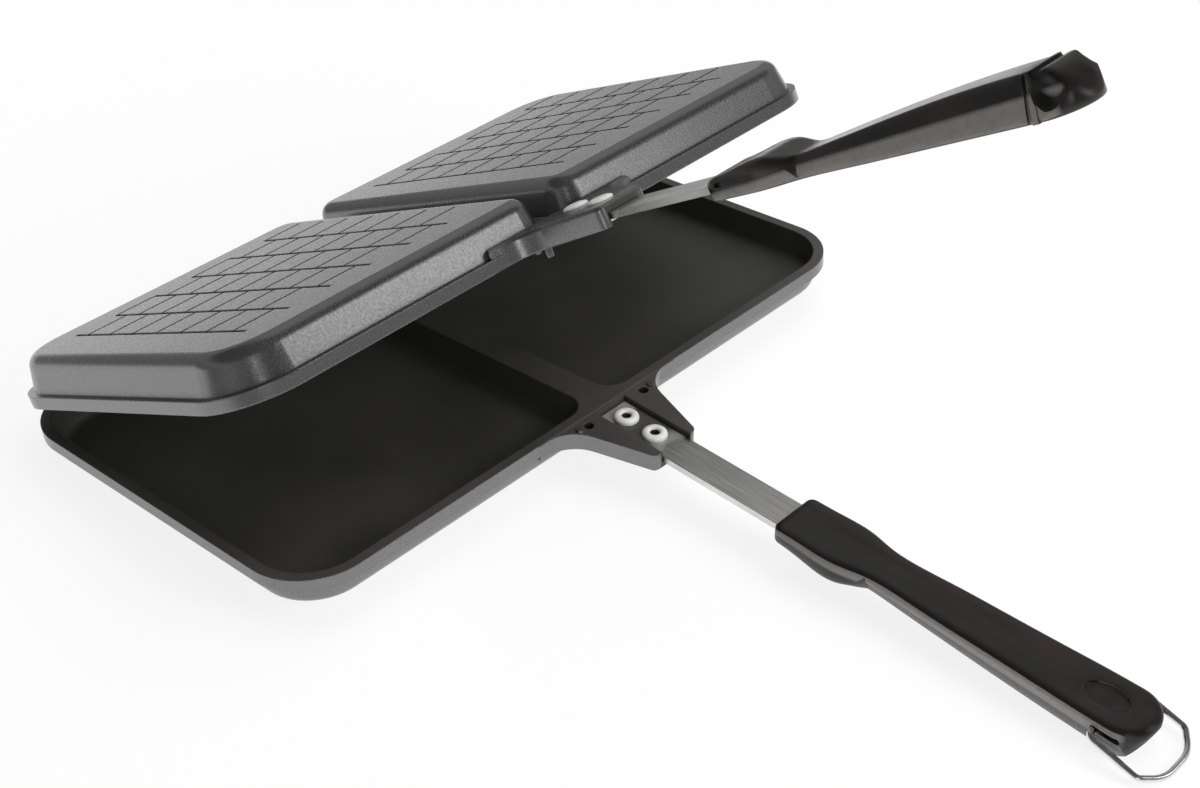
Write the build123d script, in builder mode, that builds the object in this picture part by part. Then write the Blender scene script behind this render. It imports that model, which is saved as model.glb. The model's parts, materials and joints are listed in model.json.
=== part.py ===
from build123d import *
import os
from math import asin, atan2, cos, degrees, hypot, radians, sin, tan

# A hinged sandwich pan with two compartments and two long handles, in millimetres and degrees.
# Every piece is drawn as one of the lower half with the pan shut and level: the rim lies just
# under z = 0 and faces up, the handle points to -Y and the hinge is at +Y. Pieces of the upper
# half are mirrored in z = 0 and swung open, and at last the whole is set down on a table.

# Cast halves
pan_length = 250.0
pan_width = 148.0
corner_radius = 22.0
lip_height = 4.2
lip_overhang = 1.3
wall = 2.3
floor_thickness = 2.3
draft = 13.0
lower_depth = 12.5
upper_depth = 15.5
edge_round = 4.5
pocket_round = 2.5
ridge_width = 10.0
ridge_corner = 8.0
rim_gap = 0.3
open_angle = 21.7

# Brick pattern on the outside of the upper half's blocks
brick_pitch = 15.3
brick_rows = 6
bricks_in_row = 7
brick_line_inset = 39.75
brick_groove_width = 1.3
brick_groove_depth = 0.5

# Cast root that carries the handle, on a plane that slopes away from the rim
handle_pitch = 6.0
root_seat = 3.0
root_reach = 29.0
root_thickness = 6.8
root_half_width = 18.3
root_tip_half_width = 9.2
root_flare = 12.0
root_tip_round = 2.5
root_under_bevel = 0.9
channel_start = 1.2
channel_clearance = 0.4

# Locating pins of the upper half, their sockets in the lower one, and a stop beside each
locator_x = 12.6
locator_reach = 3.6
locator_radius = 1.3
locator_clearance = 0.35
locator_tip = 2.4
locator_root = 4.0
socket_end_clearance = 1.2
stop_x = 16.4
stop_radius = 1.2
stop_height = 2.0

# Steel straps and their hollow rivets
strap_width = 12.0
strap_thickness = 2.2
strap_sink = 1.8
strap_start = 1.8
tang_width = 8.0
tang_length = 77.0
tang_shoulder = 4.0
rivet_reaches = (8.0, 20.0)
rivet_radius = 2.7
rivet_bore = 1.7
rivet_head_radius = 4.1
rivet_inner_head = 1.6
rivet_outer_head = 1.2
rivet_head_bevel = 0.5

# Moulded grips: half widths of the inner face and thicknesses at distances from the grip's front
grip_start = 74.5
grip_length = 122.5
tip_half_width = 9.8
tip_thickness = 11.0
tip_lean = 6.5
grip_plan = (
    (0.0, 9.3), (11.0, 9.5), (23.0, 9.4), (31.5, 7.6), (39.0, 7.1),
    (53.0, 7.8), (69.0, 8.4), (89.0, 9.1), (grip_length - tip_half_width, tip_half_width),
)
grip_side = (
    (0.0, 6.2), (11.0, 7.4), (24.0, 8.1), (31.5, 6.3), (39.0, 6.5),
    (53.0, 7.8), (69.0, 9.2), (89.0, 10.5), (grip_length - tip_lean, tip_thickness),
)
grip_round = 2.2
grip_front_round = 2.5
grip_edge_round = 0.8
flank_lean = 20.0
flank_band = 1.0
flank_places = ((24.0, 12.6), (32.5, 7.3), (126.5, 10.5))
tip_bow = 1.2
tip_lip = 0.5
tang_clearance = 0.05
dish_setback = 15.7
dish_length = 14.0
dish_width = 9.0
dish_depth = 0.5

# Catch for the bail at the upper grip's end: a bead, a groove across the crown and scooped flanks
groove_setback = 9.6
groove_radius = 1.3
bead_setback = 12.0
bead_width = 1.8
bead_height = 0.4
gutter_width = 1.4
gutter_depth = 0.45
scoop_setback = 6.0
scoop_radius = 6.8
scoop_reach = 12.6
scoop_sink = 8.0
finger_line_start = 4.0
finger_line_length = 15.0
finger_line_height = 1.4
finger_line_sink = 4.4
finger_line_floor = 8.4

# Wire bail through the slot of the lower grip
wire_radius = 1.0
bail_setback = 13.5
bail_sink = 3.8
bail_half_width = 12.2
bail_tip_clearance = 7.0
bail_bow = 5.0
bail_bends = (2.4, 2.4, 11.0, 11.0, 2.4, 2.4)
bail_clearance = 0.3
bail_joint_gap = 0.2
slot_length = 9.0

# Hinge
hinge_offset = 6.5
hinge_inset = 50.0
barrel_radius = 4.4
lower_knuckle = 6.0
upper_knuckle = 12.0
knuckle_gap = 0.3
pin_radius = 2.0
pin_clearance = 0.05
pin_head_radius = 3.2
pin_head_height = 1.4
pin_tail_radius = 2.6
pin_tail_height = 0.9

# Places worked out from the sizes above
rim_width = lip_overhang + wall
mouth_length = pan_length / 2 - rim_width - ridge_width / 2
mouth_width = pan_width - 2 * rim_width
mouth_centre = ridge_width / 2 + mouth_length / 2
hinge_y = pan_width / 2 + hinge_offset
pin_length = upper_knuckle + 2 * (knuckle_gap + lower_knuckle)
hinge_spread = pan_length - 2 * hinge_inset
strap_end = grip_start + tang_length
grip_end = grip_start + grip_length
bail_reach = grip_end - bail_setback
bail_length = bail_setback + bail_tip_clearance + wire_radius
slot_height = 2 * (wire_radius + bail_clearance)
grip_spread = 2 * tip_half_width
rim = Plane.XY.offset(-rim_gap / 2)
handle = Plane(
    origin=(0, root_seat - pan_width / 2, -rim_gap / 2),
    x_dir=(1, 0, 0),
    z_dir=(0, -sin(radians(handle_pitch)), cos(radians(handle_pitch))),
)
handle_side = Plane(origin=handle.origin, x_dir=-handle.y_dir, z_dir=(-1, 0, 0))


def along(reach):
    """The handle plane's own y for a distance along the handle from the rim's edge."""
    return -(root_seat + reach)


def distance_from_middle(corner):
    """How far a corner lies from the pan's middle plane."""
    return abs(corner.X)


def mouth(side, grow):
    """Outline of one compartment's mouth, grown outwards by grow."""
    with BuildSketch() as outline:
        with Locations((side * mouth_centre, 0)):
            Rectangle(mouth_length + 2 * grow, mouth_width + 2 * grow)
        fillet(outline.vertices().sort_by(distance_from_middle)[:2], ridge_corner + grow)
        fillet(outline.vertices().sort_by(distance_from_middle)[-2:], corner_radius - rim_width + grow)
    return outline.sketch


def knuckles(width, centres, bore):
    """Hinge knuckles on arms that run out level from the rim's lip."""
    arm_root = pan_width / 2 - lip_overhang
    with BuildPart() as row:
        for centre in centres:
            with BuildSketch(Plane.YZ.offset(centre - width / 2)):
                with Locations((hinge_y, 0)):
                    Circle(barrel_radius)
                with Locations((arm_root, -rim_gap / 2)):
                    Rectangle(hinge_y - arm_root, lip_height, align=(Align.MIN, Align.MAX))
                with Locations((hinge_y, 0)):
                    Circle(bore, mode=Mode.SUBTRACT)
            extrude(amount=width)
    return row.part


def handle_root():
    """Root that carries the handle, flared into the rim and rounded underneath."""
    with BuildPart() as root:
        with BuildSketch(handle) as outline:
            with BuildLine():
                Polyline(
                    (-root_half_width - root_flare, 0),
                    (-root_half_width - root_flare, along(0)),
                    (-root_half_width, along(0)),
                    (-root_tip_half_width, along(root_reach)),
                    (root_tip_half_width, along(root_reach)),
                    (root_half_width, along(0)),
                    (root_half_width + root_flare, along(0)),
                    (root_half_width + root_flare, 0),
                    close=True,
                )
            make_face()
            fillet(outline.vertices().group_by(Axis.Y)[0], root_tip_round)
            level = outline.vertices().filter_by(lambda corner: abs(corner.Y - along(0)) < root_seat / 2)
            fillet(level.sort_by(Axis.X)[1:3], root_flare)
        extrude(amount=-root_thickness)
        under = root.faces().sort_by(Axis(handle.origin, handle.z_dir))[0]
        rear = under.edges().sort_by(Axis(handle.origin, handle.y_dir))[-1]
        chamfer(under.edges().filter_by(lambda edge: edge.center() != rear.center()), root_under_bevel)
    return root.part


def cast_half(depth, knuckle_width, knuckle_centres, knuckle_bore):
    """One cast half: lip, two drafted blocks with their pockets, handle root and knuckles."""
    with BuildPart() as half:
        for side in (-1, 1):
            with BuildSketch(rim):
                add(mouth(side, wall))
            extrude(amount=-depth, taper=draft)
        fillet(half.faces().filter_by(Plane.XY).group_by(Axis.Z)[0].edges(), edge_round)
        with BuildSketch(rim):
            RectangleRounded(pan_length, pan_width, corner_radius)
        extrude(amount=-lip_height)

        add(handle_root())
        with BuildSketch(rim):
            Rectangle(pan_length, pan_width)
        extrude(amount=root_seat, mode=Mode.SUBTRACT)

        # Pockets
        for side in (-1, 1):
            with BuildSketch(rim):
                add(mouth(side, 0))
            extrude(amount=floor_thickness - depth, taper=draft, mode=Mode.SUBTRACT)
        pocket_floor = rim.origin.Z + floor_thickness - depth
        level = half.faces().filter_by(Plane.XY)
        fillet(level.sort_by(lambda face: abs(face.center().Z - pocket_floor))[:2].edges(), pocket_round)

        # Channel for the strap, with a hole for each rivet
        with BuildSketch(handle):
            with Locations((0, along(channel_start))):
                Rectangle(
                    strap_width + 2 * channel_clearance,
                    root_reach,
                    align=(Align.CENTER, Align.MAX),
                )
        extrude(amount=-strap_sink - strap_thickness, mode=Mode.SUBTRACT)
        with BuildSketch(handle):
            with Locations(*((0, along(reach)) for reach in rivet_reaches)):
                Circle(rivet_radius)
        extrude(amount=-root_thickness, mode=Mode.SUBTRACT)

        # Stops that meet those of the other half when the pan is shut
        with BuildSketch(rim):
            with Locations(*((side * stop_x, -pan_width / 2 - locator_reach) for side in (-1, 1))):
                Circle(stop_radius)
        extrude(amount=-stop_height)
        add(knuckles(knuckle_width, knuckle_centres, knuckle_bore))
    return half


def locator_spots():
    """Places of the two locating pins or sockets on the rim's plane."""
    return [(side * locator_x, -pan_width / 2 - locator_reach) for side in (-1, 1)]


def strap():
    """Flat steel strap from the root's channel into the grip, its tang narrowed."""
    with BuildPart() as bar:
        with BuildSketch(handle.offset(-strap_sink)):
            with Locations((0, along(strap_start))):
                Rectangle(tang_width, strap_end - strap_start, align=(Align.CENTER, Align.MAX))
            with Locations((0, along(strap_start))):
                Rectangle(
                    strap_width,
                    grip_start + tang_shoulder - strap_start,
                    align=(Align.CENTER, Align.MAX),
                )
            with Locations(*((0, along(reach)) for reach in rivet_reaches)):
                Circle(rivet_radius, mode=Mode.SUBTRACT)
        extrude(amount=-strap_thickness)
    return bar


def rivet(reach):
    """Hollow rivet with a rolled head on the strap and another under the root."""
    centre = handle.from_local_coords((0, along(reach), 0))
    low = -root_thickness - rivet_outer_head
    top = rivet_inner_head - strap_sink
    with BuildPart() as tube:
        with BuildSketch(Plane(origin=centre, x_dir=(1, 0, 0), z_dir=-handle.y_dir)) as profile:
            with Locations((rivet_bore, low)):
                Rectangle(rivet_radius - rivet_bore, top - low, align=(Align.MIN, Align.MIN))
            with Locations((rivet_bore, -strap_sink)):
                Rectangle(rivet_head_radius - rivet_bore, rivet_inner_head, align=(Align.MIN, Align.MIN))
            with Locations((rivet_bore, -root_thickness)):
                Rectangle(rivet_head_radius - rivet_bore, rivet_outer_head, align=(Align.MIN, Align.MAX))
            rows = profile.vertices().group_by(Axis.X)[-1].group_by(Axis.Y)
            chamfer(rows[0] + rows[-1], rivet_head_bevel)
        revolve(axis=Axis(centre, handle.z_dir))
    return tube


def across(reach):
    """Plane across the handle at a distance along it, its y out of the inner face."""
    centre = handle.from_local_coords((0, along(reach), 0))
    return Plane(origin=centre, x_dir=(1, 0, 0), z_dir=-handle.y_dir)


def grip_outline():
    """Plan outline of the grip, round at the front corners and along its tongue-shaped tip."""
    plan = [(half_width, along(grip_start + distance)) for distance, half_width in grip_plan]
    other = [(-half_width, y) for half_width, y in reversed(plan)]
    with BuildSketch() as outline:
        with BuildLine():
            right = Spline(*plan, tangents=((0, -1), (0, -1)))
            ThreePointArc(right @ 1, (0, along(grip_end)), other[0])
            left = Spline(*other, tangents=((0, 1), (0, 1)))
            Line(left @ 1, right @ 0)
        make_face()
        fillet(outline.vertices().group_by(Axis.Y)[-1], grip_front_round)
    return outline.sketch


def side_outline():
    """Side outline of the grip at its far side: flat inside, waved outside, its end leaning in."""
    front = root_seat + grip_start
    end = root_seat + grip_end
    with BuildSketch(handle_side.offset(-grip_spread)) as outline:
        with BuildLine():
            crown = Spline(*((front + distance, -thickness) for distance, thickness in grip_side))
            middle = (end - tip_lean / 2 + tip_bow, -tip_thickness / 2)
            lean = ThreePointArc(crown @ 1, middle, (end + tip_lip, 0))
            Polyline(lean @ 1, (front, 0), crown @ 0)
        make_face()
    return outline.sketch


def flank(side, half_width):
    """What lies outside one of the grip's leaning flanks, on a plane across the handle."""
    drop = 2 * tip_thickness
    shift = (drop - flank_band) * tan(radians(flank_lean))
    with BuildSketch() as outline:
        with BuildLine():
            Polyline(
                (side * half_width, -flank_band),
                (side * (half_width - shift), -drop),
                (side * (half_width + grip_spread), -drop),
                (side * (half_width + grip_spread), -flank_band),
                close=True,
            )
        make_face()
    return outline.sketch


def end_outline(grow):
    """Outline across the grip near its end, grown outwards by grow."""
    (near, near_width), (far, far_width) = flank_places[1:]
    share = (grip_length - bead_setback - near) / (far - near)
    edge = near_width + share * (far_width - near_width)
    crown = edge - (tip_thickness - flank_band) * tan(radians(flank_lean)) + grow
    half_width = tip_half_width + grow
    with BuildSketch() as outline:
        with BuildLine():
            Polyline(
                (-half_width, 0),
                (half_width, 0),
                (half_width, -flank_band),
                (crown, -tip_thickness - grow),
                (-crown, -tip_thickness - grow),
                (-half_width, -flank_band),
                close=True,
            )
        make_face()
    return outline.sketch


def grip():
    """Moulded grip: plan and side outlines in one body, its flanks leaning in behind the guard."""
    outwards = Axis(handle.origin, handle.z_dir)
    with BuildPart() as body:
        with BuildSketch(handle):
            add(grip_outline())
        extrude(amount=-2 * tip_thickness)
        extrude(side_outline(), amount=2 * grip_spread, mode=Mode.INTERSECT)
        fillet(body.faces().sort_by(SortBy.AREA)[-2].edges(), grip_round)
        fillet(body.faces().sort_by(outwards)[-1].edges(), grip_edge_round)
        for side in (-1, 1):
            for distance, half_width in flank_places:
                with BuildSketch(across(grip_start + distance)):
                    add(flank(side, half_width))
            loft(ruled=True, mode=Mode.SUBTRACT)

        # Socket for the strap's tang
        with BuildSketch(handle.offset(tang_clearance - strap_sink)):
            with Locations((0, along(grip_start))):
                Rectangle(
                    strap_width + 2 * tang_clearance,
                    tang_shoulder + tang_clearance,
                    align=(Align.CENTER, Align.MAX),
                )
                Rectangle(
                    tang_width + 2 * tang_clearance,
                    tang_length + tang_clearance,
                    align=(Align.CENTER, Align.MAX),
                )
        extrude(amount=-strap_thickness - 2 * tang_clearance, mode=Mode.SUBTRACT)

        # Shallow oval dish near the tip of the inner face
        with BuildSketch(handle):
            with Locations((0, along(grip_end - dish_setback))):
                Ellipse(dish_width / 2, dish_length / 2)
        extrude(amount=-dish_depth, mode=Mode.SUBTRACT)
    return body


def hinge_pin(centre):
    """Headed pin through one set of knuckles, its far end peened over."""
    start = centre - pin_length / 2
    with BuildPart() as pin:
        with BuildSketch(Plane.YZ.offset(start)):
            with Locations((hinge_y, 0)):
                Circle(pin_radius)
        extrude(amount=pin_length)
        with BuildSketch(Plane.YZ.offset(start)):
            with Locations((hinge_y, 0)):
                Circle(pin_head_radius)
        extrude(amount=-pin_head_height)
        with BuildSketch(Plane.YZ.offset(start + pin_length)):
            with Locations((hinge_y, 0)):
                Circle(pin_tail_radius)
        extrude(amount=pin_tail_height)
        chamfer(pin.faces().sort_by(Axis.X)[0].edges(), pin_head_height / 2)
    return pin


# How far the shut and level pan tips to stand on its blocks' hinge-side edge and its grip's tip
block_edge_z = rim.origin.Z - lower_depth + edge_round
block_wall_y = pan_width / 2 - lip_overhang - (lower_depth - edge_round) * tan(radians(draft))
block_edge = Vector(0, block_wall_y - edge_round / cos(radians(draft)), block_edge_z)
grip_tip = handle.from_local_coords((0, along(grip_end) + tip_lean, -tip_thickness))
span = block_edge - grip_tip
slope = degrees(atan2(span.Z, span.Y))
tilt = slope - degrees(asin(edge_round / hypot(span.Y, span.Z)))
lift = edge_round - block_edge.rotate(Axis.X, -tilt).Z
hinge_axis = Axis((0, hinge_y, 0), (1, 0, 0))

# The bail hangs from its pivot until its far end lies on the table
bail_pivot = handle.from_local_coords((0, along(bail_reach), -bail_sink))
bail_height = lift + bail_pivot.rotate(Axis.X, -tilt).Z
bail_drop = tilt + degrees(asin((bail_height - wire_radius) / bail_length))
outward = Vector(0, -1, 0).rotate(Axis.X, bail_drop)
bail_plane = Plane(origin=bail_pivot, x_dir=(1, 0, 0), z_dir=Vector(1, 0, 0).cross(outward))

upper_centres = (-hinge_spread / 2, hinge_spread / 2)
knuckle_step = (upper_knuckle + lower_knuckle) / 2 + knuckle_gap
lower_centres = [centre + shift for centre in upper_centres for shift in (-knuckle_step, knuckle_step)]

with BuildPart() as lower_pan:
    add(cast_half(lower_depth, lower_knuckle, lower_centres, pin_radius))
    with BuildSketch(rim):
        with Locations(*locator_spots()):
            Circle(locator_radius + locator_clearance)
    extrude(amount=-locator_tip - socket_end_clearance, mode=Mode.SUBTRACT)

with BuildPart() as upper_pan:
    add(cast_half(upper_depth, upper_knuckle, upper_centres, pin_radius + pin_clearance))
    with BuildSketch(Plane.XY.offset(locator_tip)):
        with Locations(*locator_spots()):
            Circle(locator_radius)
    extrude(amount=-locator_tip - locator_root)

    # Brick pattern: long grooves, each with short cross grooves that reach to the next
    with BuildSketch(rim.offset(-upper_depth)):
        for side in (-1, 1):
            for row in range(brick_rows):
                line_x = side * mouth_centre - brick_line_inset + row * brick_pitch
                stagger = row % 2 * brick_pitch / 2
                with Locations((line_x, 0)):
                    Rectangle(brick_groove_width, bricks_in_row * brick_pitch)
                with Locations((line_x + brick_pitch / 2, stagger)):
                    with GridLocations(brick_pitch, brick_pitch, 1, bricks_in_row):
                        Rectangle(brick_pitch, brick_groove_width)
    extrude(amount=brick_groove_depth, mode=Mode.SUBTRACT)

with BuildPart() as lower_grip:
    add(grip())
    with BuildSketch(handle_side):
        with Locations((bail_reach + root_seat - slot_height / 2, -bail_sink)):
            SlotOverall(slot_length, slot_height, align=(Align.MIN, Align.CENTER))
    extrude(amount=grip_spread, both=True, mode=Mode.SUBTRACT)

with BuildPart() as upper_grip:
    add(grip())
    with BuildSketch(across(grip_end - bead_setback)):
        add(end_outline(bead_height))
    extrude(amount=bead_width)
    with BuildSketch(across(grip_end - bead_setback)):
        Rectangle(2 * grip_spread, 2 * tip_thickness, align=(Align.CENTER, Align.MAX))
        add(end_outline(-gutter_depth), mode=Mode.SUBTRACT)
    extrude(amount=-gutter_width, mode=Mode.SUBTRACT)
    with BuildSketch(handle_side):
        with Locations((grip_end - groove_setback + root_seat, -tip_thickness)):
            Circle(groove_radius)
    extrude(amount=grip_spread, both=True, mode=Mode.SUBTRACT)
    for side in (-1, 1):
        scoop_y = along(grip_end - scoop_setback)
        with Locations(handle.from_local_coords((side * scoop_reach, scoop_y, -scoop_sink))):
            Sphere(scoop_radius, mode=Mode.SUBTRACT)
        with BuildSketch(handle_side.offset(side * finger_line_floor)):
            with Locations((root_seat + grip_start + finger_line_start, -finger_line_sink)):
                SlotOverall(finger_line_length, finger_line_height, align=(Align.MIN, Align.CENTER))
        extrude(amount=side * grip_spread, mode=Mode.SUBTRACT)

with BuildPart() as bail:
    with BuildLine(bail_plane) as wire:
        FilletPolyline(
            (bail_joint_gap / 2, 0),
            (bail_half_width, 0),
            (bail_half_width, bail_length - bail_bow),
            (bail_half_width / 2, bail_length),
            (-bail_half_width / 2, bail_length),
            (-bail_half_width, bail_length - bail_bow),
            (-bail_half_width, 0),
            (-bail_joint_gap / 2, 0),
            radius=bail_bends,
        )
    with BuildSketch(Plane(origin=wire.line @ 0, z_dir=wire.line % 0)):
        Circle(wire_radius)
    sweep(path=wire.line)

lower_half = {
    "lower_pan": lower_pan,
    "lower_strap": strap(),
    "lower_rivet_front": rivet(rivet_reaches[1]),
    "lower_rivet_rear": rivet(rivet_reaches[0]),
    "lower_grip": lower_grip,
    "hinge_pin_left": hinge_pin(upper_centres[0]),
    "hinge_pin_right": hinge_pin(upper_centres[1]),
    "bail": bail,
}
upper_half = {
    "upper_pan": upper_pan,
    "upper_strap": strap(),
    "upper_rivet_front": rivet(rivet_reaches[1]),
    "upper_rivet_rear": rivet(rivet_reaches[0]),
    "upper_grip": upper_grip,
}
for piece in upper_half.values():
    piece.part = piece.part.mirror(Plane.XY).rotate(hinge_axis, -open_angle)
pieces = {**lower_half, **upper_half}
for piece in pieces.values():
    piece.part = piece.part.rotate(Axis.X, -tilt).moved(Location((0, 0, lift)))

# The frame's origin is under the middle of the whole
reach_y = [piece.part.bounding_box() for piece in pieces.values()]
middle_y = (min(box.min.Y for box in reach_y) + max(box.max.Y for box in reach_y)) / 2
os.makedirs("parts", exist_ok=True)
for name, piece in pieces.items():
    piece.part = piece.part.moved(Location((0, -middle_y, 0)))
    piece.part.label = name
    export_step(piece.part, f"parts/{name}.step")
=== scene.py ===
import json
import math

import bmesh
import bpy
from mathutils import Matrix, Vector


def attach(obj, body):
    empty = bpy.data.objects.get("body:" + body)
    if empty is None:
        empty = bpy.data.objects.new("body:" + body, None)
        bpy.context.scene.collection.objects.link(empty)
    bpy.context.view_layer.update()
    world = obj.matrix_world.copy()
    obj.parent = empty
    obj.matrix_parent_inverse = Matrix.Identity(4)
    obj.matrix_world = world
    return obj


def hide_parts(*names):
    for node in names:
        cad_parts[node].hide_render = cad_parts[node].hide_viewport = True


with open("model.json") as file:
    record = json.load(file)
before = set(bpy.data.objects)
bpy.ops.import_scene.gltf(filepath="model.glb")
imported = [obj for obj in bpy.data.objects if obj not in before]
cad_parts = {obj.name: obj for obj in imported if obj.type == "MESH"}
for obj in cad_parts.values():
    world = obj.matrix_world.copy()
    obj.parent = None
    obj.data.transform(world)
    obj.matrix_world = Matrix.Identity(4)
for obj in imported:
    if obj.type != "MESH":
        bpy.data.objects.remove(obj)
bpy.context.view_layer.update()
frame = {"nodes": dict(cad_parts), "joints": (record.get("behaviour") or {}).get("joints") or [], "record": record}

MM = 0.001
X_AXIS = (1, 0, 0)
Y_AXIS = (0, 1, 0)
Z_AXIS = (0, 0, 1)

# The photograph's camera in the level pan's frame, in degrees and millimetres. The focal length
# and the image's width are in pixels.
VIEW_AZIMUTH = -44.033
VIEW_ELEVATION = 33.756
VIEW_ROLL = -4.588
VIEW_DISTANCE = 603.18
VIEW_TARGET = Vector((1.523, -69.15, 0.0))
VIEW_FOCAL = 1894.1
IMAGE_WIDTH = 1200
SENSOR_WIDTH = 36.0
CLIP_START = 0.01

# Places on the level pan, in millimetres. The handle's plane starts at RIM_FRONT, just inside the
# rim's edge. The step is the low upright face of that edge over the handle's root.
HINGE_Y = 80.5
RIM_EDGE = 74.0
RIM_FRONT = Vector((0.0, -71.0, -0.15))
CHANNEL_HALF_WIDTH = 7.0
STEP_HALF_WIDTH = 31.0
STEP_HEIGHT = 0.5
ROOT_FRONT = -102.0
STRAP_START = -75.8
STRAP_BARE_END = 3.5

# The handle: its pitch in degrees, and in millimetres how far inside the rim's edge its plane
# starts, and how far from that edge the rivets and the grip are
HANDLE_PITCH = 6.0
ROOT_SEAT = 3.0
RIVET_REACHES = {"rear": 8.0, "front": 20.0}
GRIP_START = 74.5

# A rivet's outline in millimetres, from its blind hole to its dome: radius, and height over the
# handle's plane
RIVET_OUTLINE = (
    (0.0, -5.6), (1.4, -5.6), (1.55, -5.2), (1.55, -1.0), (1.7, -0.5), (2.1, -0.25),
    (2.8, -0.22), (3.5, -0.4), (3.95, -0.85), (4.08, -1.3), (4.08, -1.8), (2.7, -1.8),
    (2.7, -6.8), (4.08, -6.8), (4.08, -7.15), (3.7, -7.55), (2.8, -7.85), (1.5, -7.97),
    (0.0, -8.0),
)
RIVET_STEPS = 40
RIVET_SHARP_ANGLE = 50.0
# The hole is painted near black as shade where it lies inside this radius and above this depth
RIVET_HOLE = 1.6
RIVET_HOLE_DEPTH = 6.0

# How far down the matt part of a grip's flank, with its painted sheen, reaches: in millimetres at the
# end near the pan, and more for each millimetre away from it
MATT_SHEEN_DEPTH = 2.4
MATT_SHEEN_SLOPE = 0.036

# Widths in metres: the borders of finishes, how far the strap's dark part wanders, and how near the
# walls of a crevice are where painted shade darkens the paint
MATT_SHEEN_BORDER = 0.0006
STRAP_BORDER = 0.0006
STRAP_FADE = 0.006
STRAP_RAGGED = 0.002
CREVICE_SHADE_WIDTH = 0.0022

# Radii of rounded edges, and depths of fine relief, in metres
CAST_EDGE = 0.0007
STRAP_EDGE = 0.0004
PIN_EDGE = 0.0003
METAL_EDGE = 0.0002
GRIP_WEAR = 0.0006
GRIP_EDGE = 0.0042
FINE_RELIEF = 0.000014
BRUSHED_RELIEF = 0.00003
MOULDED_RELIEF = 0.00005

# Cosines of the turn at an edge: where its wear starts, and where it is full
WEAR_COSINES = (0.985, 0.88)
# Between these lie most values of a noise, and of the sum of two
NOISE_SPREAD = (0.3, 0.7)
NOISE_SUM_SPREAD = (0.7, 1.3)

# Colours, linear
WHITE = (1, 1, 1, 1)
PAINT = (0.212, 0.212, 0.212, 1)
PAINT_WORN = (0.34, 0.34, 0.345, 1)
# Painted shade, for the crevices of the cast paint
PAINTED_CREVICE_SHADE = (0.03, 0.03, 0.03, 1)
COATING = (0.041, 0.04, 0.0385, 1)
COATING_WORN = (0.07, 0.067, 0.064, 1)
STEEL = (0.74, 0.735, 0.715, 1)
STEEL_RUBBED = (0.75, 0.75, 0.74, 1)
BARE_END = (0.24, 0.235, 0.225, 1)
WIRE = (0.88, 0.88, 0.88, 1)
PIN = (0.5, 0.5, 0.49, 1)
RIVET = (0.78, 0.78, 0.77, 1)
# Painted shade inside a rivet's hole
RIVET_HOLE_SHADE = (0.05, 0.05, 0.05, 1)
METAL_RUBBED = (0.9, 0.9, 0.9, 1)
PHENOLIC = (0.007, 0.006, 0.0055, 1)
PHENOLIC_BROWN = (0.018, 0.01, 0.008, 1)
# Painted reflection: the light brown-grey of a grip's matt flanks
PHENOLIC_PAINTED_SHEEN = (0.27, 0.25, 0.228, 1)
PHENOLIC_RUBBED = (0.06, 0.045, 0.04, 1)

# The floor is a disc, in metres. The camera and gloss see it as mostly white, and as wholly white
# at its rim.
FLOOR = (0.86, 0.86, 0.865, 1)
FLOOR_RADIUS = 0.5
FLOOR_STEPS = 96
FLOOR_FADE_START = 0.24
FLOOR_WHITE_SHARE = 0.85

# The studio around the floor rises from low to high, and is dark overhead but for a soft pale
# panel at the back right. Gloss sees white only well below the horizon. Heights are sines of the
# elevation, and the panel's edge is in cosines from its direction.
STUDIO_LOW = (0.2, 0.2, 0.2, 1)
STUDIO_HIGH = (0.42, 0.42, 0.42, 1)
STUDIO_DARK = (0.08, 0.08, 0.08, 1)
STUDIO_RISE = (-0.05, 0.35)
DARK_RISE = (0.3, 0.5)
PANEL_DIRECTION = (0.6, 0.5, 0.625)
PANEL_EDGE = (0.84, 0.96)
WHITE_BELOW = (-0.12, -0.2)

# Area lamps: place, target and size in metres, watts, and whether gloss shows the lamp
LAMPS = {
    "overhead": ((0.35, -0.1, 1.6), (0, 0.05, 0.03), (1.3, 1.3), 20.0, False),
    "fill": ((0.35, -1.45, 0.85), (0, 0.05, 0.03), (0.8, 0.8), 20.0, False),
    "front_right": ((0.95, -1.2, 1.12), (0, 0.05, 0.05), (0.6, 0.7), 2.9, True),
    "front_left": ((-0.9, -1.2, 0.75), (0, 0.05, 0.03), (0.34, 0.34), 1.5, True),
}


def pan_to_world(hinge_joint):
    """Matrix from the level pan's frame in millimetres to the scene's frame in metres."""
    normal = Vector(frame["record"]["mounts"][0]["axis"])
    tilt = math.atan2(normal.y, -normal.z)
    turn = Matrix.Rotation(tilt, 4, "X")
    hinge = Vector(hinge_joint["pos_m"])
    shift = hinge - turn @ (Vector((0.0, HINGE_Y, 0.0)) * MM)
    return Matrix.Translation(shift) @ turn @ Matrix.Scale(MM, 4)


def upper_to_world(hinge_joint, pan):
    """The same for the upper half, drawn as a lower one, mirrored and swung open."""
    pivot = Vector((0.0, HINGE_Y, 0.0))
    swing = Matrix.Rotation(math.radians(hinge_joint["range_deg"][0]), 4, "X")
    mirror = Matrix.Scale(-1, 4, Vector(Z_AXIS))
    return pan @ Matrix.Translation(pivot) @ swing @ Matrix.Translation(-pivot) @ mirror


def handle_to_world(matrix):
    """The same for the handle of a half: its plane is the grip's inner face."""
    pitch = Matrix.Rotation(math.radians(HANDLE_PITCH), 4, "X")
    return matrix @ Matrix.Translation(RIM_FRONT) @ pitch


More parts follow.
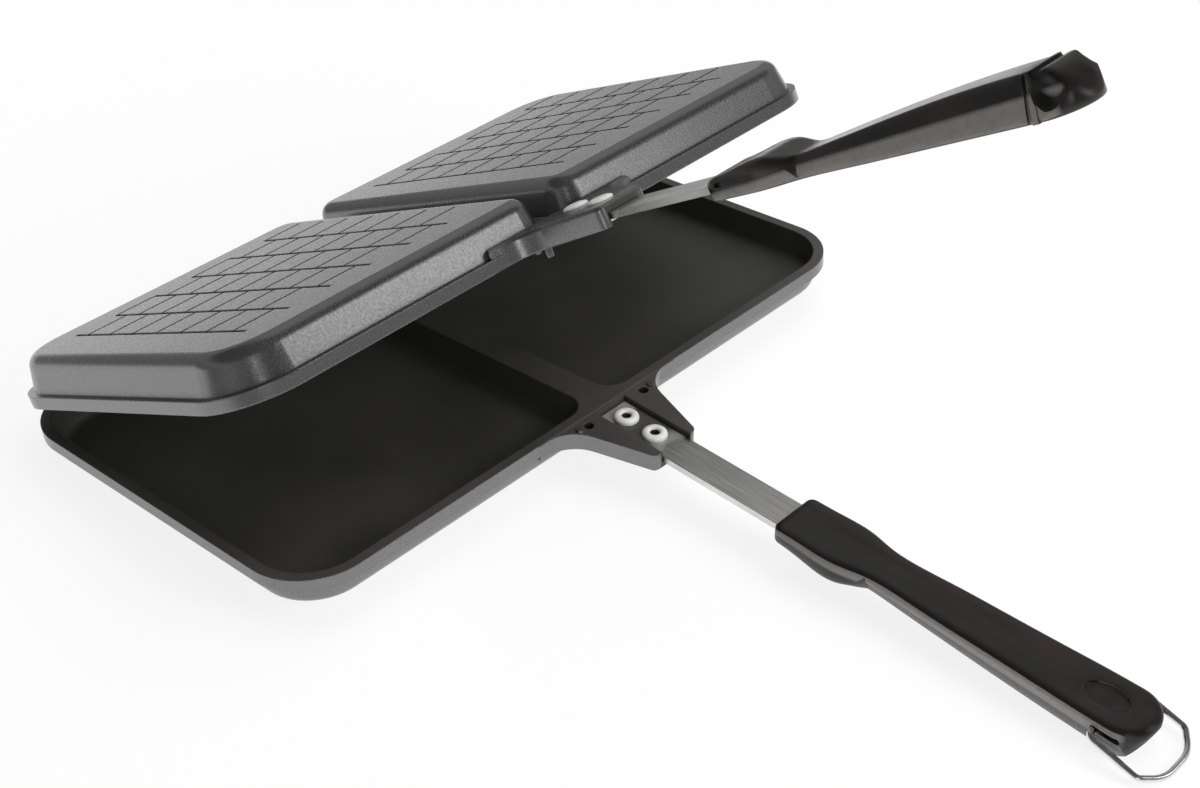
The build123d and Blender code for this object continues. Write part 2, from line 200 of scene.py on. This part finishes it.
def add_camera(pan):
    """The camera at the photograph's place, roll and field of view."""
    az, el, roll = (math.radians(v) for v in (VIEW_AZIMUTH, VIEW_ELEVATION, VIEW_ROLL))
    back = Vector((math.sin(az) * math.cos(el), -math.cos(az) * math.cos(el), math.sin(el)))
    level = Vector((math.cos(az), math.sin(az), 0.0))
    above = back.cross(level)
    right = level * math.cos(roll) + above * math.sin(roll)
    up = above * math.cos(roll) - level * math.sin(roll)
    place = Matrix((right, up, back)).transposed().to_4x4()
    place.translation = VIEW_TARGET + back * VIEW_DISTANCE
    data = bpy.data.cameras.new("camera")
    data.sensor_width = SENSOR_WIDTH
    data.lens = VIEW_FOCAL / IMAGE_WIDTH * SENSOR_WIDTH
    data.clip_start = CLIP_START
    camera = bpy.data.objects.new("camera", data)
    bpy.context.scene.collection.objects.link(camera)
    world = pan @ place
    turn = world.to_quaternion().to_matrix().to_4x4()
    camera.matrix_world = Matrix.Translation(world.translation) @ turn
    bpy.context.scene.camera = camera


def shade(colour, factor):
    """The colour, darker or lighter by a factor."""
    return tuple(v * factor for v in colour[:3]) + (1,)


class Nodes:
    """A node tree, with short calls that add nodes and join them."""

    def __init__(self, tree):
        self.tree = tree

    def put(self, socket, value):
        """Join another node's output to a socket, or set a plain value there."""
        if isinstance(value, bpy.types.NodeSocket):
            self.tree.links.new(value, socket)
        else:
            socket.default_value = value

    def add(self, kind, inputs, **settings):
        """A new node, its inputs given by name or number."""
        node = self.tree.nodes.new(kind)
        for key, value in settings.items():
            setattr(node, key, value)
        for socket, value in inputs.items():
            self.put(node.inputs[socket], value)
        return node

    def math(self, operation, first, second):
        return self.add("ShaderNodeMath", {0: first, 1: second}, operation=operation).outputs[0]

    def times(self, first, second):
        return self.math("MULTIPLY", first, second)

    def plus(self, first, second):
        return self.math("ADD", first, second)

    def minus(self, first, second):
        return self.math("SUBTRACT", first, second)

    def higher(self, first, second):
        return self.math("MAXIMUM", first, second)

    def size(self, value):
        return self.math("ABSOLUTE", value, 0)

    def dot(self, first, second):
        node = self.add("ShaderNodeVectorMath", {0: first, 1: second}, operation="DOT_PRODUCT")
        return node.outputs["Value"]

    def ramp(self, value, start, end, low=0.0, high=1.0):
        """low up to start, high from end, and even between."""
        sockets = {
            "Value": value, "From Min": start, "From Max": end, "To Min": low, "To Max": high,
        }
        return self.add("ShaderNodeMapRange", sockets).outputs["Result"]

    def mix(self, share, first, second):
        """The first colour where share is 0, and the second where it is 1."""
        node = self.add("ShaderNodeMix", {0: share, 6: first, 7: second}, data_type="RGBA")
        return node.outputs[2]

    def mix_values(self, share, first, second):
        node = self.add("ShaderNodeMix", {0: share, 2: first, 3: second}, data_type="FLOAT")
        return node.outputs[0]


class Finish(Nodes):
    """A procedural material on the object's own coordinates."""

    def __init__(self, name):
        self.material = bpy.data.materials.new(name)
        self.material.use_nodes = True
        super().__init__(self.material.node_tree)
        self.shader = self.tree.nodes["Principled BSDF"]
        coordinates = self.add("ShaderNodeTexCoord", {})
        self.place = coordinates.outputs["Object"]
        self.facing = coordinates.outputs["Normal"]

    def noise(self, scale, detail=3.0, stretch=(1, 1, 1)):
        """Noise with about scale spots a metre, times stretch along each axis."""
        mapped = self.add("ShaderNodeMapping", {"Vector": self.place, "Scale": stretch})
        sockets = {"Vector": mapped.outputs[0], "Scale": scale, "Detail": detail}
        return self.add("ShaderNodeTexNoise", sockets).outputs[0]

    def edges(self, radius):
        """A mask of the sharp edges, and the normal rounded over them."""
        rounded = self.add("ShaderNodeBevel", {"Radius": radius}, samples=4).outputs["Normal"]
        flat = self.add("ShaderNodeNewGeometry", {}).outputs["Normal"]
        return self.ramp(self.dot(rounded, flat), *WEAR_COSINES), rounded

    def bump(self, height, distance, normal):
        sockets = {"Height": height, "Distance": distance, "Normal": normal}
        return self.add("ShaderNodeBump", sockets).outputs[0]

    def finish(self, **sockets):
        """Sets the shader's sockets, a space in their names written as _."""
        for name, value in sockets.items():
            self.put(self.shader.inputs[name.replace("_", " ")], value)
        return self.material


def coated_share(f, matrix):
    """1 on the side that faces up in matrix, short of the hinge, on the step's upright face and on
    the channel's sides, and 0 elsewhere."""
    turn = matrix.to_3x3().normalized()
    up, back = (turn @ Vector(axis) for axis in (Z_AXIS, Y_AXIS))
    rim_back, rim_front = (
        (matrix @ Vector((0, y, 0))).dot(back) for y in (RIM_EDGE, -RIM_EDGE)
    )
    rim_level = (matrix @ RIM_FRONT).dot(up)
    depth = f.dot(f.place, back)
    beside = f.size(f.dot(f.place, X_AXIS))
    lift = f.dot(f.facing, up)
    before_hinge = f.ramp(depth, rim_back - 0.0001, rim_back - 0.0004)
    channel = f.times(
        f.ramp(beside, (CHANNEL_HALF_WIDTH + 0.2) * MM, CHANNEL_HALF_WIDTH * MM),
        f.ramp(depth, rim_front + 0.0003, rim_front + 0.0001),
    )
    step = f.times(
        f.ramp(beside, (STEP_HALF_WIDTH + 0.5) * MM, STEP_HALF_WIDTH * MM),
        f.ramp(f.size(f.minus(depth, rim_front)), 0.0004, 0.0002),
    )
    top = rim_level - STEP_HEIGHT * MM
    step = f.times(step, f.ramp(f.dot(f.place, up), top, top + 0.0001))
    upright = f.times(f.higher(channel, step), f.ramp(lift, -0.5, -0.4))
    return f.higher(f.times(f.ramp(lift, 0.06, 0.14), before_hinge), upright)


def cast_finish(name, matrix):
    """Satin grey paint outside, and dark non-stick coating on the side that faces up in matrix."""
    f = Finish(name)
    coated = coated_share(f, matrix)
    cloudy = f.noise(28, 4)
    fine = f.noise(1300, 2)
    grain = f.noise(2600, 3)
    edge, rounded = f.edges(CAST_EDGE)
    worn = f.times(edge, f.ramp(f.noise(110, 3), 0.4, 0.65, 0.1, 0.45))
    # Painted shade: the paint turns near black in crevices, where walls stand near and shade falls
    crevice = f.add(
        "ShaderNodeAmbientOcclusion", {"Distance": CREVICE_SHADE_WIDTH}, samples=4, only_local=True,
    )
    unshaded = f.ramp(crevice.outputs["AO"], 0.35, 0.85, 0.1, 1.0)

    paint = f.mix(f.ramp(cloudy, *NOISE_SPREAD), PAINT, shade(PAINT, 0.9))
    paint = f.mix(f.ramp(grain, 0.45, 0.65), paint, shade(PAINT, 1.08))
    paint = f.mix(unshaded, PAINTED_CREVICE_SHADE, paint)
    paint = f.mix(worn, paint, PAINT_WORN)
    coating = f.mix(f.ramp(cloudy, 0.35, 0.7), COATING, shade(COATING, 1.35))
    coating = f.mix(f.times(worn, 0.7), coating, COATING_WORN)

    paint_rough = f.ramp(fine, *NOISE_SPREAD, 0.2, 0.3)
    coating_rough = f.ramp(cloudy, *NOISE_SPREAD, 0.4, 0.5)
    rough = f.mix_values(coated, paint_rough, coating_rough)
    height = f.plus(f.times(grain, 0.5), fine)
    return f.finish(
        Base_Color=f.mix(coated, paint, coating),
        Metallic=f.ramp(coated, 0.0, 1.0, 0.9, 0.0),
        Roughness=rough,
        Normal=f.bump(height, FINE_RELIEF, rounded),
    )


def strap_finish(name, matrix):
    """Brushed steel, darker where it lies in the cast root, but for a matt grey strip at its end."""
    f = Finish(name)
    back = (matrix.to_3x3() @ Vector(Y_AXIS)).normalized()
    root = (matrix @ Vector((0, ROOT_FRONT, 0))).dot(back)
    brushed = f.noise(1800, 4, (1, 0.03, 0.03))
    smudge = f.noise(90, 4)
    start = (matrix @ Vector((0, STRAP_START, 0))).dot(back) - STRAP_BARE_END * MM
    wander = f.ramp(smudge, *NOISE_SPREAD, -STRAP_RAGGED, STRAP_RAGGED)
    ragged = f.plus(f.dot(f.place, back), wander)
    coated = f.times(
        f.ramp(ragged, root, root + STRAP_FADE), f.ramp(ragged, start, start - STRAP_BORDER),
    )
    edge, rounded = f.edges(STRAP_EDGE)
    steel = f.mix(f.ramp(brushed, *NOISE_SPREAD), STEEL, shade(STEEL, 0.72))
    steel = f.mix(f.times(edge, 0.6), steel, STEEL_RUBBED)
    bare_end = f.ramp(ragged, start - STRAP_BORDER, start)
    steel = f.mix(bare_end, steel, BARE_END)
    return f.finish(
        Base_Color=f.mix(coated, steel, shade(COATING, 1.5)),
        Metallic=f.ramp(f.higher(coated, bare_end), 0.0, 1.0, 1.0, 0.1),
        Roughness=f.ramp(f.plus(brushed, smudge), *NOISE_SUM_SPREAD, 0.26, 0.4),
        Normal=f.bump(brushed, BRUSHED_RELIEF, rounded),
    )


def bright_finish(name, colour, rough, radius, metallic):
    """Bare metal with fine scratches and slightly dulled spots."""
    f = Finish(name)
    smudge = f.noise(260, 4)
    scratch = f.noise(2600, 4, (1, 0.12, 0.5))
    edge, rounded = f.edges(radius)
    metal = f.mix(f.ramp(smudge, *NOISE_SPREAD), colour, shade(colour, 0.82))
    return f.finish(
        Base_Color=f.mix(f.times(edge, 0.3), metal, METAL_RUBBED),
        Metallic=metallic,
        Roughness=f.ramp(f.plus(smudge, scratch), *NOISE_SUM_SPREAD, rough, rough + 0.14),
        Normal=f.bump(scratch, FINE_RELIEF, rounded),
    )


def grip_finish(name, matrix):
    """Glossy dark phenolic moulding, its flanks matt and painted a light brown-grey sheen, its edges rubbed."""
    f = Finish(name)
    flow = f.noise(120, 5, (1, 0.22, 0.6))
    wavy = f.noise(75, 2)
    pits = f.noise(2400, 3)
    edge = f.edges(GRIP_WEAR)[0]
    rubbed = f.times(edge, f.ramp(f.noise(300, 4), 0.35, 0.6, 0.1, 0.5))
    rounded = f.add("ShaderNodeBevel", {"Radius": GRIP_EDGE}, samples=8).outputs["Normal"]
    handle = handle_to_world(matrix)
    up, back = (handle.to_3x3().normalized() @ Vector(axis) for axis in (Z_AXIS, Y_AXIS))
    start = handle @ Vector((0, -ROOT_SEAT - GRIP_START, 0))
    depth = f.minus(start.dot(up), f.dot(f.place, up))
    along = f.minus(start.dot(back), f.dot(f.place, back))
    limit = f.plus(f.times(along, MATT_SHEEN_SLOPE), MATT_SHEEN_DEPTH * MM)
    beside = f.size(f.dot(f.facing, X_AXIS))
    # Painted reflection: the part of each flank next to the grip's inner face is made matt and painted light
    # brown-grey, standing in for the floor's reflection
    matt_and_sheen = f.times(f.ramp(beside, 0.84, 0.93), f.ramp(f.noise(500, 4), 0.2, 0.5, 0.75, 1.0))
    matt_and_sheen = f.times(matt_and_sheen, f.ramp(f.minus(depth, limit), MATT_SHEEN_BORDER, -MATT_SHEEN_BORDER))
    body = f.mix(f.ramp(flow, 0.48, 0.75), PHENOLIC, PHENOLIC_BROWN)
    body = f.mix(matt_and_sheen, body, PHENOLIC_PAINTED_SHEEN)
    gloss = f.ramp(f.plus(flow, pits), *NOISE_SUM_SPREAD, 0.14, 0.26)
    height = f.plus(f.times(wavy, 3.0), f.times(pits, 0.18))
    return f.finish(
        Base_Color=f.mix(rubbed, body, PHENOLIC_RUBBED),
        Roughness=f.plus(gloss, f.times(matt_and_sheen, 0.2)),
        Normal=f.bump(height, MOULDED_RELIEF, rounded),
    )


def add_rivet(half, matrix, end, finishes):
    """Rivet with a rolled end on the strap and a dome under the root, in place of a plain one."""
    centre = Matrix.Translation((0, -ROOT_SEAT - RIVET_REACHES[end], 0))
    mesh = bmesh.new()
    outline = [mesh.verts.new((radius, 0, height)) for radius, height in RIVET_OUTLINE]
    edges = [mesh.edges.new(pair) for pair in zip(outline, outline[1:])]
    bmesh.ops.spin(
        mesh, geom=outline + edges, axis=Z_AXIS, cent=(0, 0, 0), angle=math.tau,
        steps=RIVET_STEPS,
    )
    bmesh.ops.remove_doubles(mesh, verts=mesh.verts, dist=0.001)
    for face in mesh.faces:
        wide = max(v.co.xy.length for v in face.verts) > RIVET_HOLE
        # Faces in the hole take the second finish, which is painted shade
        face.material_index = 0 if wide or face.verts[0].co.z < -RIVET_HOLE_DEPTH else 1
    mesh.transform(handle_to_world(matrix) @ centre)
    bmesh.ops.recalc_face_normals(mesh, faces=mesh.faces)
    data = bpy.data.meshes.new(f"{half}_{end}_rivet_rolled")
    mesh.to_mesh(data)
    mesh.free()
    data.shade_smooth()
    data.set_sharp_from_angle(angle=math.radians(RIVET_SHARP_ANGLE))
    for finish in finishes:
        data.materials.append(finish)
    rivet = bpy.data.objects.new(data.name, data)
    bpy.context.scene.collection.objects.link(rivet)
    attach(rivet, f"{half}_half")
    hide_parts(f"{half}_rivet_{end}")


def add_floor():
    """Plain pale floor that keeps the object's shadow and fades into the white backdrop."""
    turns = [math.tau * i / FLOOR_STEPS for i in range(FLOOR_STEPS)]
    rim = [(FLOOR_RADIUS * math.cos(turn), FLOOR_RADIUS * math.sin(turn), 0) for turn in turns]
    mesh = bpy.data.meshes.new("floor")
    mesh.from_pydata(rim, [], [range(FLOOR_STEPS)])
    floor = bpy.data.objects.new("floor", mesh)
    bpy.context.scene.collection.objects.link(floor)
    f = Finish("floor")
    f.finish(Base_Color=FLOOR, Roughness=0.7, Specular_IOR_Level=0.2)
    light = f.add("ShaderNodeLightPath", {})
    seen = f.higher(light.outputs["Is Camera Ray"], light.outputs["Is Glossy Ray"])
    seen = f.higher(seen, light.outputs["Is Transmission Ray"])
    white = f.add("ShaderNodeEmission", {"Color": WHITE, "Strength": 1.0})
    out = f.add("ShaderNodeVectorMath", {0: f.place}, operation="LENGTH").outputs["Value"]
    fade = f.ramp(out, FLOOR_FADE_START, FLOOR_RADIUS, FLOOR_WHITE_SHARE, 1.0)
    sockets = {0: f.times(seen, fade), 1: f.shader.outputs[0], 2: white.outputs[0]}
    blend = f.add("ShaderNodeMixShader", sockets)
    f.put(f.tree.nodes["Material Output"].inputs["Surface"], blend.outputs[0])
    mesh.materials.append(f.material)


def add_world():
    """White backdrop for the camera, and a dim studio around the floor for light and gloss."""
    world = bpy.data.worlds.new("world")
    bpy.context.scene.world = world
    world.use_nodes = True
    w = Nodes(world.node_tree)
    direction = w.add("ShaderNodeTexCoord", {}).outputs["Generated"]
    height = w.dot(direction, Z_AXIS)
    studio = w.mix(w.ramp(height, *STUDIO_RISE), STUDIO_LOW, STUDIO_HIGH)
    beside_panel = w.ramp(w.dot(direction, PANEL_DIRECTION), *PANEL_EDGE, 1.0, 0.0)
    dark = w.times(w.ramp(height, *DARK_RISE), beside_panel)
    studio = w.mix(dark, studio, STUDIO_DARK)
    light = w.add("ShaderNodeLightPath", {})
    near_floor = w.ramp(height, *WHITE_BELOW)
    seen = w.higher(light.outputs["Is Glossy Ray"], light.outputs["Is Transmission Ray"])
    seen = w.higher(w.times(seen, near_floor), light.outputs["Is Camera Ray"])
    background = world.node_tree.nodes["Background"]
    w.put(background.inputs["Color"], w.mix(seen, studio, WHITE))
    w.put(background.inputs["Strength"], 1.0)


def add_lamp(name, place, target, size, watts, in_gloss):
    """A rectangular lamp that faces its target."""
    data = bpy.data.lights.new(name, "AREA")
    data.shape = "RECTANGLE"
    data.size, data.size_y = size
    data.energy = watts
    lamp = bpy.data.objects.new(name, data)
    bpy.context.scene.collection.objects.link(lamp)
    lamp.visible_glossy = in_gloss
    lamp.location = place
    lamp.rotation_euler = (Vector(target) - Vector(place)).to_track_quat("-Z", "Y").to_euler()


pan_hinge = next(joint for joint in frame["joints"] if joint["name"] == "pan_hinge")
lower = pan_to_world(pan_hinge)
upper = upper_to_world(pan_hinge, lower)

add_camera(lower)
add_floor()
add_world()
for name, lamp in LAMPS.items():
    add_lamp(name, *lamp)

finishes = {
    "lower_pan": cast_finish("cast_lower", lower),
    "upper_pan": cast_finish("cast_upper", upper),
    "lower_strap": strap_finish("strap_lower", lower),
    "upper_strap": strap_finish("strap_upper", upper),
    "lower_grip": grip_finish("phenolic_lower", lower),
    "upper_grip": grip_finish("phenolic_upper", upper),
    "bail": bright_finish("wire_plating", WIRE, 0.16, METAL_EDGE, metallic=1.0),
}
pin_metal = bright_finish("pin_steel", PIN, 0.3, PIN_EDGE, metallic=1.0)
rivet_metal = bright_finish("rivet_metal", RIVET, 0.38, METAL_EDGE, metallic=0.15)
# Painted shade: a near black finish for the inside of a rivet's hole
rivet_hole_shade = bright_finish("rivet_hole_shade", RIVET_HOLE_SHADE, 0.5, METAL_EDGE, metallic=0.2)
for name, node in frame["nodes"].items():
    metal = pin_metal if "pin" in name else rivet_metal
    node.material_slots[0].material = finishes.get(name, metal)
for half, matrix in (("lower", lower), ("upper", upper)):
    for end in RIVET_REACHES:
        add_rivet(half, matrix, end, (rivet_metal, rivet_hole_shade))

bpy.context.scene.view_settings.view_transform = "Standard"
